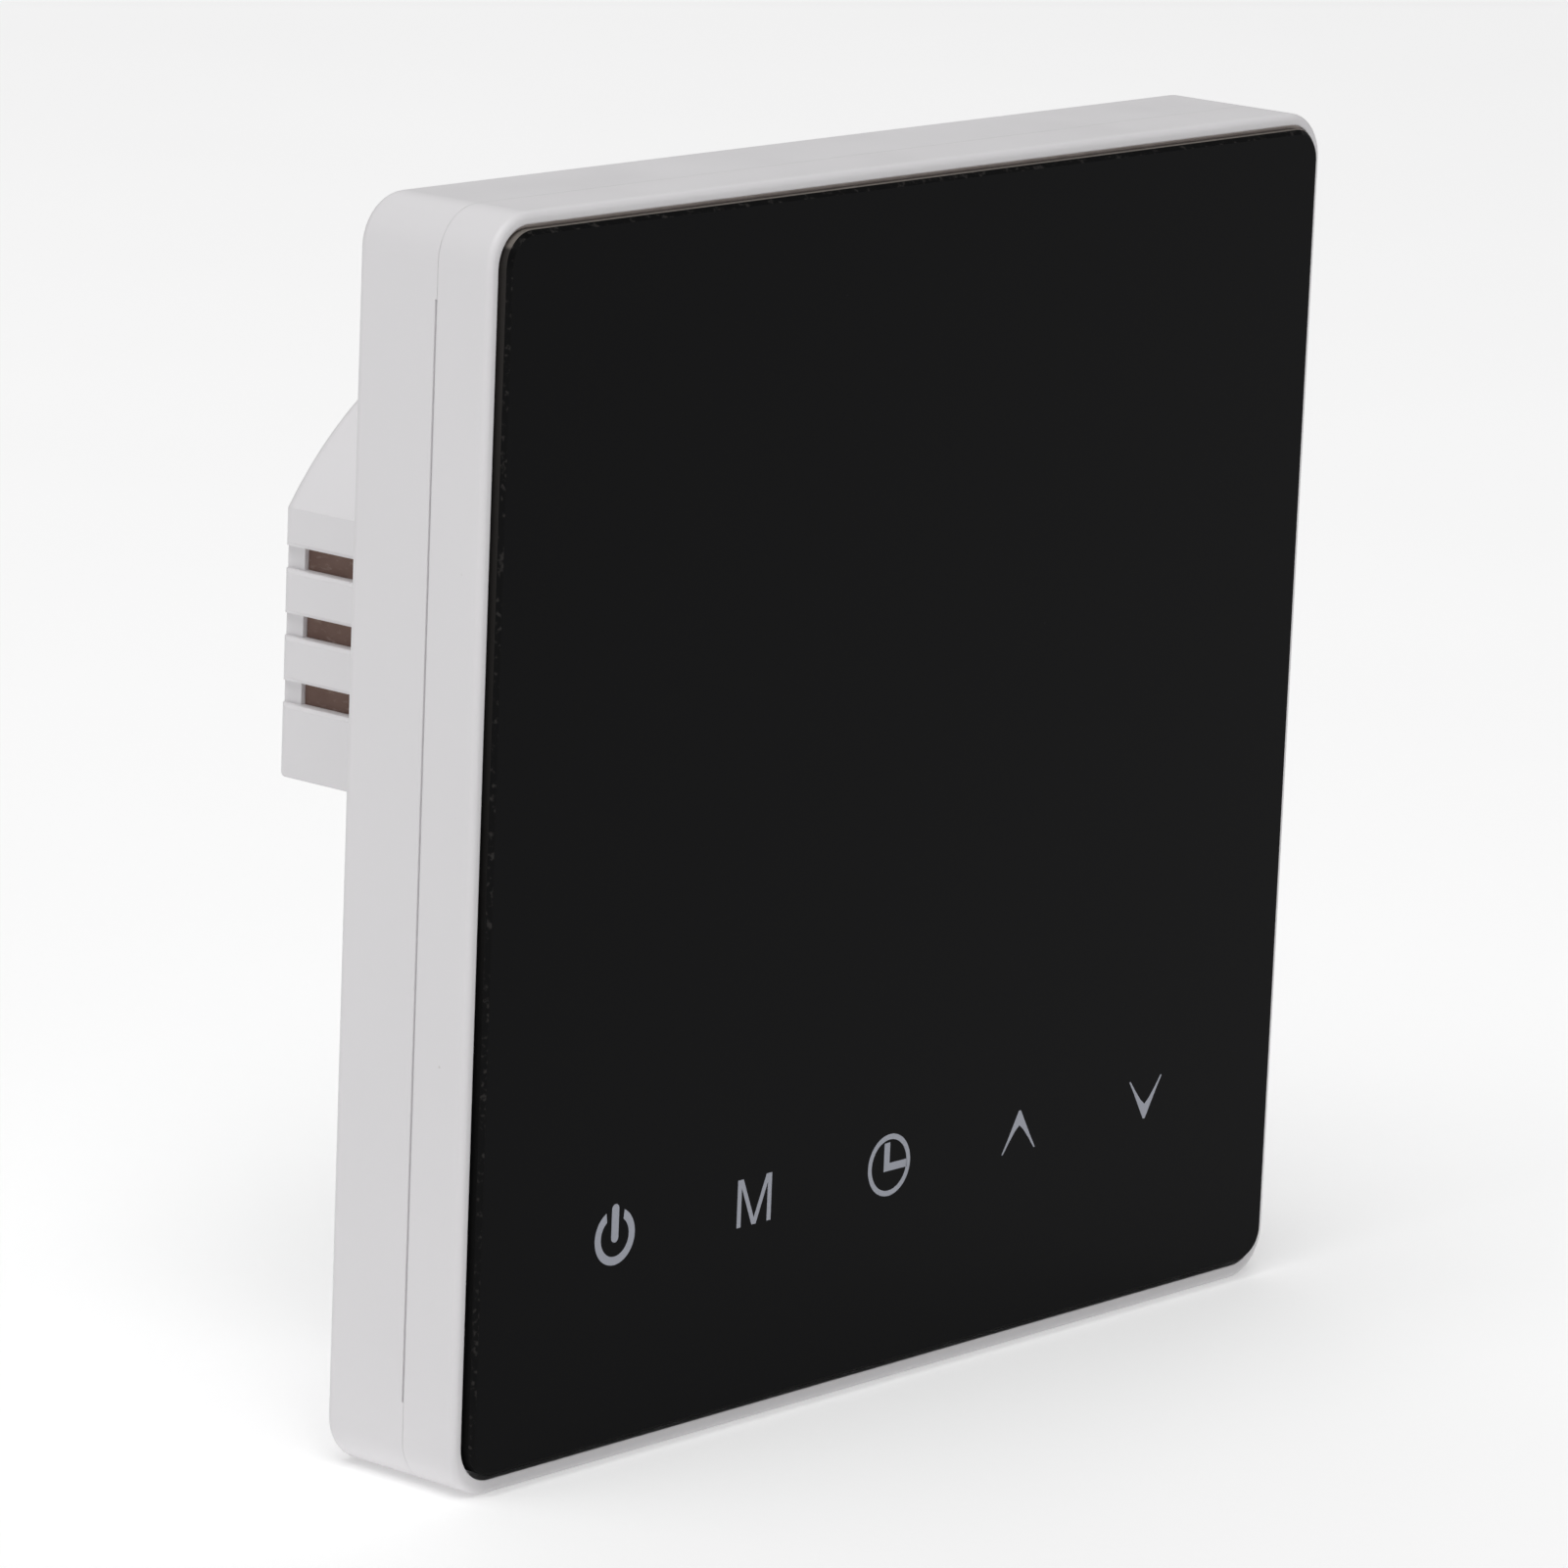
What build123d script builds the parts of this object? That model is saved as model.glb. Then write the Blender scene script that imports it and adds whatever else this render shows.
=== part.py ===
from build123d import *
import os

# Wall thermostat with a glass front, in millimetres.
# +Z is up, the glass faces -Y, and y = 0 is the wall.
# The origin is the centre of the face that lies on the wall.
# "room side" is towards -Y and "wall side" is towards +Y.

# ---- driving dimensions ----
PLATE = 86.0  # side of the square front
PLATE_CORNER = 3.5
RIM_Y = -11.9  # plane of the white rim
GLASS_Y = -12.6  # plane of the glass face
SEAM_Y = -7.3  # parting line between front frame and rear cover
SEAM_GROOVE = 0.15  # width of the reveal groove along the parting line at the left and right
SEAM_GROOVE_DEPTH = 0.22
SEAM_GROOVE_LENGTH = 74.0  # it stops short of the corners
BACK_EDGE_FILLET = 0.8
FIT_GAP = 0.3  # clearance between parts that slide apart

RIM_WIDTH = 0.78
BOTTOM_RIM_WIDTH = 1.05
GLASS_WIDTH = 83.8
GLASS_HEIGHT = 83.44
GLASS_Z = 0.2  # the glass sits a little high in the rim
GLASS_THICKNESS = 2.0
GLASS_CORNER = 2.3
GLASS_CHAMFER = 0.3
TAPE_THICKNESS = 0.2
TAPE_WIDTH = 2.6
TAPE_INSET = 0.5  # from the edge of the glass
BEAD_Y = -11.6  # top of the adhesive bead between rim and glass
BEAD_LOW_Z = 31.0  # it runs along the top and ends here at both sides
DECK_THICKNESS = 1.5
SKIRT_WALL = 1.2
SKIRT_END_Y = -2.6

SIDE_WALL = 1.8
FLOOR = 2.0  # thickness of the rear cover's plate
SCREW_PITCH = 60.0  # mounting screws of a wall box
SCREW_SLOT_WIDTH = 4.4
SCREW_SLOT_LENGTH = 7.0
SCREW_POCKET_R = 4.8
SCREW_POCKET_DEPTH = 0.8

BOX_R = 29.0  # rear box fits a round wall box of 60 mm
BOX_HALF_WIDTH = 24.0
BOX_DEPTH = 25.0
BOX_WALL = 1.8
BOX_CUT_Z = -2.7  # the deep part ends here, the terminal part goes on below
TERMINAL_DEPTH = 16.0
TERMINAL_WALL = 1.6
BOX_BOTTOM_Z = -19.8
BOX_FILLET = 1.0

VENT_Z = (3.25, 8.0, 12.75)
VENT_HEIGHT = 1.65
VENT_GROOVE = 0.7
VENT_START_Y = 10.0
VENT_END_INSET = 1.66
VENT_LIP = 0.25  # chamfer along both lips of a groove
VENT_THIN_WALL = 0.4  # wall left round the slots, thinned from inside
LINER_THICKNESS = 0.3  # insulating board behind the vents
LINER_Y = (9.3, 23.7)
LINER_Z = (1.6, 14.6)

KEY_COUNT = 5
KEY_PITCH = 14.0
KEY_CENTRE_X = -0.62
KEY_Z = -27.08
KEY_HOLE_R = 4.6  # holes through the deck for the touch springs

LCD_WIDTH = 62.0
LCD_HEIGHT = 46.0
LCD_Z = 5.0
LCD_FRONT_Y = -10.5
LCD_BACK_Y = -7.9
LCD_GAP = 0.4
BACKLIGHT_BACK_Y = -6.1

CONTROL_BOARD = 76.0
CONTROL_BOARD_Y = (-6.0, -4.8)
CONTROL_POST_X = 34.6
POST_R = 2.5

POWER_BOARD_Y = (1.4, 3.0)
POWER_POSTS = ((-13.2, 21.0), (13.2, 21.0), (-19.4, -3.4), (19.4, -3.4))
POWER_POST_R = 2.3
PARTITION_Y = (-2.0, -1.0)

POLE_COUNT = 8
POLE_PITCH = 5.0
BLOCK_Y = (3.0, 14.2)
BLOCK_Z = (-18.0, -6.4)
POLE_Z = -13.1  # screw axis
# X and Z limits of the opening over the terminal screws
TOOL_WINDOW = ((-19.9, 19.9), (-16.6, -8.0))
WIRE_HOLE_HALF_X = 1.9
WIRE_HOLE_Y = (3.6, 8.2)
SCREW_R = 1.5
SCREW_TIP_Y = 7.75
SCREW_HEAD_Y = (12.1, 13.9)
SCREW_HEAD_R = 1.8
CAGE_Y = (3.7, 8.6)
CAGE_HALF_X = 2.05
CAGE_HALF_Z = 2.5
CAGE_WALL_X = 0.45
CAGE_WALL_Y = 0.8
CHAMBER_END_Y = 11.0
CONTACT_Y = (6.9, 7.7)
CONTACT_LEG_Z = (-8.2, -7.4)

SELF_TAP_R = 1.0
SELF_TAP_PILOT_R = 1.1
SELF_TAP_HEAD_R = 1.9

SENSOR_X = 31.5
AIR_SLOTS = 4
AIR_SLOT_PITCH = 2.4
AIR_SLOT_HALF_X = 0.6
AIR_SLOT_Y = (-6.2, -3.2)
PRY_X = 10.0
PRY_SLOT = (6.0, 1.1, 1.0)  # width, height from the seam and depth of a screwdriver slot
LATCH_X = 22.0
TRANSFORMER_X, TRANSFORMER_Z = -12.8, 9.0

HEADER_PINS = 6
HEADER_PITCH = 2.54
HEADER_Z = 21.5
PIN_SIDE = 0.64

# ---- derived sizes ----
HALF = PLATE / 2
GLASS_BACK_Y = GLASS_Y + GLASS_THICKNESS
DECK_Y = GLASS_BACK_Y + TAPE_THICKNESS
DECK_BACK_Y = DECK_Y + DECK_THICKNESS
COVER_INNER = PLATE - 2 * SIDE_WALL
SKIRT_OUTER = COVER_INNER - 2 * FIT_GAP
SKIRT_INNER = SKIRT_OUTER - 2 * SKIRT_WALL
KEY_X = [KEY_CENTRE_X + KEY_PITCH * (i - (KEY_COUNT - 1) / 2) for i in range(KEY_COUNT)]
POLE_X = [POLE_PITCH * (i - (POLE_COUNT - 1) / 2) for i in range(POLE_COUNT)]
CONTROL_POSTS = [(sx * CONTROL_POST_X, sz * CONTROL_POST_X) for sx in (-1, 1) for sz in (-1, 1)]
PIN_X = [HEADER_PITCH * (i - (HEADER_PINS - 1) / 2) for i in range(HEADER_PINS)]


# ---- helpers ----
def prism(outline, y_room, y_wall):
    """Straight block with an X-Z outline, from depth y_room to depth y_wall."""
    return extrude(Plane.XZ.offset(-y_wall) * outline, y_wall - y_room)


def rect(width, height, x=0.0, z=0.0, corner=0.0):
    """Rectangle in X-Z about a point, with optional round corners."""
    shape = RectangleRounded(width, height, corner) if corner else Rectangle(width, height)
    return Pos(x, z) * shape


def disc(radius, x=0.0, z=0.0):
    return Pos(x, z) * Circle(radius)


def block(x, y, z):
    """Box between two limits on each axis."""
    size = [high - low for low, high in (x, y, z)]
    centre = [(low + high) / 2 for low, high in (x, y, z)]
    return Pos(*centre) * Box(*size)


def edges_at(shape, y):
    """Edges that lie wholly at depth y."""
    return shape.edges().filter_by_position(Axis.Y, y - 0.01, y + 0.01)


def box_outline(radius, half_width, bottom_z):
    """Outline of the rear box: a circle cut by flats at both sides and at the bottom."""
    window = rect(2 * half_width, radius - bottom_z, z=(radius + bottom_z) / 2)
    return Circle(radius) & window


def save(name, shape):
    """Writes a node as one solid, or as a group of separate solids."""
    solids = [s for item in (shape if isinstance(shape, list) else [shape]) for s in item.solids()]
    export_step(solids[0] if len(solids) == 1 else Compound(children=solids), f"parts/{name}.step")


# ---- rear unit: shells ----
def mounting_slot(x):
    """Slot for one wall box screw, with a shallow pocket for its head."""
    slot = prism(Pos(x, 0) * SlotOverall(SCREW_SLOT_LENGTH, SCREW_SLOT_WIDTH), -FLOOR, 1.0)
    pocket_length = SCREW_SLOT_LENGTH - SCREW_SLOT_WIDTH + 2 * SCREW_POCKET_R
    pocket = Pos(x, 0) * SlotOverall(pocket_length, 2 * SCREW_POCKET_R)
    return slot + prism(pocket, -FLOOR - 1, -FLOOR + SCREW_POCKET_DEPTH)


def vents(side):
    """Cuts for the vents of one side.

    Each vent is a groove that runs off the rear face, with a slot through the wall inside it.
    A shallow pocket behind them holds the liner.
    """
    cuts = Part()
    floor_x, lip_x, outer_x = BOX_HALF_WIDTH - VENT_GROOVE, BOX_HALF_WIDTH - VENT_LIP, BOX_HALF_WIDTH + 1
    half = VENT_HEIGHT / 2
    flare = half + outer_x - lip_x
    slot_x = sorted((side * (BOX_HALF_WIDTH - BOX_WALL - 1), side * (BOX_HALF_WIDTH + 1)))
    for z in VENT_Z:
        upper = [(floor_x, half), (lip_x, half), (outer_x, flare)]
        corners = upper + [(x, -dz) for x, dz in reversed(upper)]
        profile = make_face(Polyline(*[(side * x, z + dz) for x, dz in corners], close=True))
        cuts += prism(profile, VENT_START_Y - VENT_END_INSET, BOX_DEPTH + 1)
        cuts += block(slot_x, (VENT_START_Y, BOX_DEPTH - VENT_END_INSET), (z - half, z + half))
    pocket_x = sorted((side * (BOX_HALF_WIDTH - BOX_WALL - 1), side * liner_face()))
    pocket_y = (LINER_Y[0] - FIT_GAP, LINER_Y[1] + FIT_GAP / 2)
    return cuts + block(pocket_x, pocket_y, (LINER_Z[0] - FIT_GAP, LINER_Z[1] + FIT_GAP))


def liner_face():
    """Distance from the middle to the outer face of a vent liner."""
    return BOX_HALF_WIDTH - VENT_GROOVE - VENT_THIN_WALL


def vent_liner(side):
    """Sheet of insulating board in the pocket behind the vents of one side."""
    liner_x = sorted((side * (liner_face() - LINER_THICKNESS), side * liner_face()))
    return block(liner_x, LINER_Y, LINER_Z)


def latch_places():
    """Where the snap hooks sit: two along the top wall and two along the bottom wall."""
    return [(x, side) for x in (-LATCH_X, LATCH_X) for side in (-1, 1)]


def rear_cover():
    plate = prism(rect(PLATE, PLATE, corner=PLATE_CORNER), SEAM_Y, 0)
    plate = fillet(edges_at(plate, 0), BACK_EDGE_FILLET)
    groove = rect(PLATE + 2, SEAM_GROOVE_LENGTH) - rect(PLATE - 2 * SEAM_GROOVE_DEPTH, PLATE)
    plate -= prism(groove, SEAM_Y, SEAM_Y + SEAM_GROOVE)
    plate -= prism(rect(COVER_INNER, COVER_INNER, corner=PLATE_CORNER - SIDE_WALL), SEAM_Y - 1, -FLOOR)
    for x, side in latch_places():
        channel_z = sorted((side * (COVER_INNER / 2 - 0.5), side * (COVER_INNER / 2 + 0.8)))
        plate -= block((x - 4.4, x + 4.4), (SEAM_Y - 1, -FLOOR), channel_z)
    deep = prism(box_outline(BOX_R, BOX_HALF_WIDTH, BOX_CUT_Z), -FLOOR, BOX_DEPTH)
    deep = fillet(edges_at(deep, BOX_DEPTH), BOX_FILLET)
    low = prism(box_outline(BOX_R, BOX_HALF_WIDTH, BOX_BOTTOM_Z), -FLOOR, TERMINAL_DEPTH)
    low = fillet(edges_at(low, TERMINAL_DEPTH), BOX_FILLET)
    shell = plate + deep + low
    inner_r, inner_x = BOX_R - BOX_WALL, BOX_HALF_WIDTH - BOX_WALL
    deep_room = box_outline(inner_r, inner_x, BOX_CUT_Z + BOX_WALL)
    shell -= prism(deep_room, -FLOOR, BOX_DEPTH - BOX_WALL)
    low_room = box_outline(inner_r, inner_x, BOX_BOTTOM_Z + TERMINAL_WALL)
    shell -= prism(low_room, -FLOOR, TERMINAL_DEPTH - TERMINAL_WALL)
    shell = shell + power_posts()
    # window over the terminal screws, and one wire opening for each pole
    window_x, window_z = TOOL_WINDOW
    shell -= block(window_x, (TERMINAL_DEPTH - TERMINAL_WALL - 1, TERMINAL_DEPTH + 1), window_z)
    bottom_wall = (BOX_BOTTOM_Z - 1, BOX_BOTTOM_Z + TERMINAL_WALL + 1)
    for x in POLE_X:
        shell -= block((x - WIRE_HOLE_HALF_X, x + WIRE_HOLE_HALF_X), WIRE_HOLE_Y, bottom_wall)
    for side in (-1, 1):
        shell -= vents(side)
        shell -= mounting_slot(side * SCREW_PITCH / 2)
    # pry slots at the bottom of the seam
    width, height, depth = PRY_SLOT
    for x in (-PRY_X, PRY_X):
        pry_x = (x - width / 2, x + width / 2)
        shell -= block(pry_x, (SEAM_Y - 1, SEAM_Y + height), (-HALF - 1, -HALF + depth))
    return shell - air_slots(-HALF - 1, -HALF + SIDE_WALL + 1)


def air_slots(z_low, z_high):
    """Row of slots that lets room air reach the sensor, through one wall at the bottom."""
    slots = Part()
    for i in range(AIR_SLOTS):
        x = SENSOR_X + AIR_SLOT_PITCH * (i - (AIR_SLOTS - 1) / 2)
        slots += block((x - AIR_SLOT_HALF_X, x + AIR_SLOT_HALF_X), AIR_SLOT_Y, (z_low, z_high))
    return slots


def power_posts():
    """Posts that carry the power board, from the rear wall of the box to the board."""
    posts = Part()
    for x, z in POWER_POSTS:
        end = BOX_DEPTH - BOX_WALL if z > 0 else TERMINAL_DEPTH - TERMINAL_WALL
        posts += prism(disc(POWER_POST_R, x, z), POWER_BOARD_Y[1], end + 0.5)
    # the lower posts stand on the terminal part's rear wall, so the posts keep inside the shell
    posts &= prism(box_outline(BOX_R - 0.5, BOX_HALF_WIDTH - 0.5, BOX_BOTTOM_Z), 0, BOX_DEPTH)
    for x, z in POWER_POSTS:
        posts -= prism(disc(SELF_TAP_PILOT_R, x, z), 0, POWER_BOARD_Y[1] + 7)
    return posts


def rating_label():
    """Blank sticker on the rear face of the box."""
    return prism(rect(34, 20, z=13.0, corner=1.0), BOX_DEPTH, BOX_DEPTH + 0.12)


def board_partition():
    """Insulating plate over the mouth of the box, on four feet that stand on the power board."""
    outline = box_outline(BOX_R - BOX_WALL - FIT_GAP, BOX_HALF_WIDTH - BOX_WALL - FIT_GAP, -17.9)
    plate = prism(outline, *PARTITION_Y)
    for x, z in ((-17.5, 8.0), (17.5, 8.0), (-16.0, -13.5), (16.0, -13.5)):
        plate += prism(disc(1.8, x, z), PARTITION_Y[0] + 0.3, POWER_BOARD_Y[0])
    plate -= prism(rect(HEADER_PINS * HEADER_PITCH + 0.8, 3.3, z=HEADER_Z), -3, 0)
    return plate


# ---- rear unit: power board ----
def self_tapper(x, z, face_y, direction, length):
    """Pan head screw on a face, with its shank along direction (+1 towards the wall)."""
    head = sorted((face_y, face_y - direction * 1.3))
    shank = sorted((face_y, face_y + direction * length))
    slot = sorted((face_y - direction * 1.4, face_y - direction * 0.8))
    screw = prism(disc(SELF_TAP_HEAD_R, x, z), *head) + prism(disc(SELF_TAP_R, x, z), *shank)
    screw = fillet(edges_at(screw, face_y - direction * 1.3), 0.4)
    cross = rect(2.2, 0.5, x, z) + rect(0.5, 2.2, x, z)
    return screw - prism(cross, *slot)


def power_board():
    outline = box_outline(BOX_R - BOX_WALL - 0.5, BOX_HALF_WIDTH - BOX_WALL - 0.5, -17.7)
    board = prism(outline, *POWER_BOARD_Y)
    for x, z in POWER_POSTS:
        board -= prism(disc(SELF_TAP_PILOT_R + 0.15, x, z), 0, 5)
    for x in POLE_X:
        board -= block((x - 1.5, x + 1.5), (0, 5), (CONTACT_LEG_Z[0] - 0.2, CONTACT_LEG_Z[1] + 0.2))
    return board


def on_board(x, z, height, lift=0.0):
    """Limits of a component that stands on the power board's wall side."""
    return x, (POWER_BOARD_Y[1] + lift, POWER_BOARD_Y[1] + lift + height), z


def power_relay():
    case = block(*on_board((3.6, 19.0), (-0.6, 18.4), 15.4, lift=0.3))
    case = fillet(case.edges().filter_by(Axis.Y) + edges_at(case, POWER_BOARD_Y[1] + 15.7), 0.6)
    for z in (1.0, 9.0, 16.8):
        case += block((10.8, 11.8), (POWER_BOARD_Y[1], POWER_BOARD_Y[1] + 0.5), (z - 0.4, z + 0.4))
    return case


def transformer_bobbin():
    """Bobbin with two flanges on a foot, wound about X."""
    x, z, y = TRANSFORMER_X, TRANSFORMER_Z, POWER_BOARD_Y[1]
    body = block((x - 4.4, x + 4.4), (y + 4.2, y + 9.8), (z - 2.8, z + 2.8))
    for side in (-1, 1):
        flange_x = sorted((x + side * 3.6, x + side * 4.4))
        body += block(flange_x, (y + 1.0, y + 12.0), (z - 5.5, z + 5.5))
        foot_x = sorted((x + side * 3.6, x + side * 6.4))
        body += block(foot_x, (y + 1.0, y + 2.2), (z - 5.5, z + 5.5))
        for pin_z in (-4.0, 0.0, 4.0):
            pin_x = x + side * 5.6
            body += block((pin_x - 0.3, pin_x + 0.3), (y, y + 1.2), (z + pin_z - 0.3, z + pin_z + 0.3))
    # the core's middle leg goes through the bobbin
    return body - block((x - 6, x + 6), (y + 5.2, y + 8.8), (z - 1.8, z + 1.8))


def transformer_winding():
    x, z, y = TRANSFORMER_X, TRANSFORMER_Z, POWER_BOARD_Y[1]
    outer = block((x - 3.5, x + 3.5), (y + 2.4, y + 11.6), (z - 4.8, z + 4.8))
    outer = fillet(outer.edges().filter_by(Axis.X), 1.6)
    return outer - block((x - 5, x + 5), (y + 4.2, y + 9.8), (z - 2.8, z + 2.8))


def transformer_core():
    """Ferrite core around the bobbin: two side legs, two end bars and the middle leg."""
    x, z, y = TRANSFORMER_X, TRANSFORMER_Z, POWER_BOARD_Y[1]
    core = block((x - 6.6, x + 6.6), (y + 5.3, y + 8.7), (z - 7.4, z + 7.4))
    for side in (-1, 1):
        gap_z = sorted((z + side * 1.7, z + side * 5.7))
        core -= block((x - 4.6, x + 4.6), (y + 5, y + 9), gap_z)
    return core


def film_capacitor():
    case = block(*on_board((-7.5, 7.5), (19.4, 25.2), 11.0, lift=0.4))
    case = fillet(edges_at(case, POWER_BOARD_Y[1] + 11.4), 0.5)
    for x in (-5.0, 5.0):
        case += prism(disc(0.35, x, 22.3), POWER_BOARD_Y[1], POWER_BOARD_Y[1] + 0.6)
    return case


def electrolytic(x, z, radius, height):
    """Can with a crimp groove near its foot and a rounded top."""
    foot = POWER_BOARD_Y[1] + 0.2
    can = prism(disc(radius, x, z), foot, foot + height)
    can = fillet(edges_at(can, foot + height), 0.6)
    groove = prism(disc(radius + 1, x, z), foot + 1.4, foot + 2.0) - prism(disc(radius - 0.35, x, z), 0, 30)
    leads = prism(disc(0.3, x - 1.2, z), POWER_BOARD_Y[1], foot + 0.5)
    leads += prism(disc(0.3, x + 1.2, z), POWER_BOARD_Y[1], foot + 0.5)
    return can - groove + leads


def surge_varistor():
    """Coated disc that stands on two leads."""
    centre_y = POWER_BOARD_Y[1] + 4.8
    body = Pos(-10.0, centre_y, -3.3) * Cylinder(3.7, 3.6)
    body = fillet(body.edges(), 1.2)
    for x in (-12.2, -7.8):
        body += block((x - 0.3, x + 0.3), (POWER_BOARD_Y[1], centre_y), (-3.6, -3.0))
    return body


def fuse_resistor():
    """Fusible resistor that lies along X, with bent leads."""
    y = POWER_BOARD_Y[1] + 2.5
    body = Pos(2.0, y, -3.4) * Rot(0, 90, 0) * Cylinder(2.0, 9.0)
    body = fillet(body.edges(), 0.7)
    for x in (-3.7, 7.1):
        lead_x = (x, x + 0.6)
        body += block(lead_x, (POWER_BOARD_Y[1], y + 0.3), (-3.7, -3.1))
    return body + block((-3.7, 7.7), (y - 0.3, y + 0.3), (-3.7, -3.1))


def leaded_chip(x, z, y_face, direction, width, height, thickness, leads):
    """Small moulded chip on a board face, with leads along its left and right sides."""
    y_body = sorted((y_face + direction * 0.15, y_face + direction * thickness))
    chip = block((x - width / 2, x + width / 2), y_body, (z - height / 2, z + height / 2))
    chip = chamfer(edges_at(chip, y_face + direction * thickness), 0.2)
    y_lead = sorted((y_face, y_face + direction * 0.4))
    for i in range(leads):
        lead_z = z + (i - (leads - 1) / 2) * 1.27
        for side in (-1, 1):
            lead_x = sorted((x + side * (width / 2 - 0.3), x + side * (width / 2 + 0.9)))
            chip += block(lead_x, y_lead, (lead_z - 0.2, lead_z + 0.2))
    return chip


def header_socket():
    """Female header on the room side of the power board."""
    half = HEADER_PINS * HEADER_PITCH / 2
    body = block((-half, half), (-3.1, POWER_BOARD_Y[0]), (HEADER_Z - 1.25, HEADER_Z + 1.25))
    for x in PIN_X:
        body -= block((x - 0.5, x + 0.5), (-4, POWER_BOARD_Y[0] - 0.2), (HEADER_Z - 0.5, HEADER_Z + 0.5))
    return body


# ---- rear unit: terminals ----
def terminal_block():
    half = POLE_COUNT * POLE_PITCH / 2 + 0.2
    body = block((-half, half), BLOCK_Y, BLOCK_Z)
    body = chamfer(edges_at(body, BLOCK_Y[1]), 0.4)
    chamber_x = CAGE_HALF_X + 0.1
    for x in POLE_X:
        body -= prism(disc(SCREW_HEAD_R + FIT_GAP, x, POLE_Z), SCREW_HEAD_Y[0] - FIT_GAP, BLOCK_Y[1] + 1)
        body -= prism(disc(SCREW_R + FIT_GAP, x, POLE_Z), CHAMBER_END_Y - 0.5, BLOCK_Y[1])
        chamber_z = (POLE_Z - CAGE_HALF_Z - 0.3, POLE_Z + CAGE_HALF_Z + 0.3)
        body -= block((x - chamber_x, x + chamber_x), (CAGE_Y[0] - 0.3, CHAMBER_END_Y), chamber_z)
        body -= block((x - 1.7, x + 1.7), (4.3, 8.0), (BLOCK_Z[0] - 1, POLE_Z))
        # way for the contact bar through the wall of the chamber and down to the board
        way_y = (BLOCK_Y[0] - 1, CONTACT_Y[1] + 0.1)
        body -= block((x - 1.5, x + 1.5), way_y, (POLE_Z, CONTACT_LEG_Z[1] + 0.1))
    return body


def terminal_screw(x):
    head = prism(disc(SCREW_HEAD_R, x, POLE_Z), *SCREW_HEAD_Y)
    head = chamfer(edges_at(head, SCREW_HEAD_Y[1]), 0.2)
    head -= block((x - 3, x + 3), (SCREW_HEAD_Y[1] - 0.9, 20), (POLE_Z - 0.35, POLE_Z + 0.35))
    shank = prism(disc(SCREW_R, x, POLE_Z), SCREW_TIP_Y, SCREW_HEAD_Y[0])
    return head + chamfer(edges_at(shank, SCREW_TIP_Y), 0.3)


def clamp_cage(x):
    """Rising cage: a square tube for the wire, with a hole for the screw in its wall-side plate."""
    cage_z = (POLE_Z - CAGE_HALF_Z, POLE_Z + CAGE_HALF_Z)
    cage = block((x - CAGE_HALF_X, x + CAGE_HALF_X), CAGE_Y, cage_z)
    inner_x = CAGE_HALF_X - CAGE_WALL_X
    inner_y = (CAGE_Y[0] + CAGE_WALL_Y, CAGE_Y[1] - CAGE_WALL_Y)
    cage -= block((x - inner_x, x + inner_x), inner_y, (POLE_Z - 5, POLE_Z + 5))
    return cage - prism(disc(SCREW_R + 0.05, x, POLE_Z), CAGE_Y[1] - 2, CAGE_Y[1] + 1)


def terminal_contact(x):
    """Bar through the cage, with a leg that is soldered into the board."""
    bar = block((x - 1.25, x + 1.25), CONTACT_Y, (POLE_Z - 2.2, CONTACT_LEG_Z[1]))
    return bar + block((x - 1.0, x + 1.0), (POWER_BOARD_Y[0] - 0.9, CONTACT_Y[1]), CONTACT_LEG_Z)


# ---- front unit: shells ----
def lcd_window():
    return rect(LCD_WIDTH + 2 * LCD_GAP, LCD_HEIGHT + 2 * LCD_GAP, z=LCD_Z)


def glass_pocket():
    """Outline of the recess that the glass lies in; the rim is a little wider along the bottom."""
    height = PLATE - RIM_WIDTH - BOTTOM_RIM_WIDTH
    middle = (BOTTOM_RIM_WIDTH - RIM_WIDTH) / 2
    return rect(PLATE - 2 * RIM_WIDTH, height, z=middle, corner=PLATE_CORNER - RIM_WIDTH)


def front_frame():
    frame = prism(rect(PLATE, PLATE, corner=PLATE_CORNER), RIM_Y, SEAM_Y)
    frame = fillet(edges_at(frame, RIM_Y), RIM_WIDTH * 0.6)
    frame -= prism(glass_pocket(), RIM_Y - 1, DECK_Y)
    skirt_corner = PLATE_CORNER - SIDE_WALL - FIT_GAP
    skirt = rect(SKIRT_OUTER, SKIRT_OUTER, corner=skirt_corner)
    frame += prism(skirt, DECK_BACK_Y - 0.5, SKIRT_END_Y)
    frame -= prism(rect(SKIRT_INNER, SKIRT_INNER, corner=0.4), DECK_BACK_Y, 0)
    for x, side in latch_places():
        frame += latch_hook(x, side)
    for x, z in CONTROL_POSTS:
        frame += prism(disc(POST_R, x, z), DECK_BACK_Y - 0.5, CONTROL_BOARD_Y[0])
        frame -= prism(disc(SELF_TAP_PILOT_R, x, z), DECK_BACK_Y - 0.3, 0)
    frame -= prism(lcd_window(), RIM_Y, 0)
    for x in KEY_X:
        frame -= prism(disc(KEY_HOLE_R, x, KEY_Z), RIM_Y, DECK_BACK_Y + 0.01)
    return frame - air_slots(-HALF, -SKIRT_INNER / 2 + 1)


def latch_hook(x, side):
    """Wedge-shaped nose on the skirt, in the rear cover's channel."""
    root, nose, lead = SKIRT_OUTER / 2 - 0.4, SKIRT_OUTER / 2 + 0.8, 0.9
    points = [(-3.0, root), (-3.0, root + 0.5), (-3.0 - lead, nose), (-5.2, nose), (-6.4, root)]
    profile = make_face(Polyline(*[(y, side * z) for y, z in points], close=True))
    wedge = extrude(Plane.YZ * profile, 4.0, both=True)
    return Pos(x, 0, 0) * wedge


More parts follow.
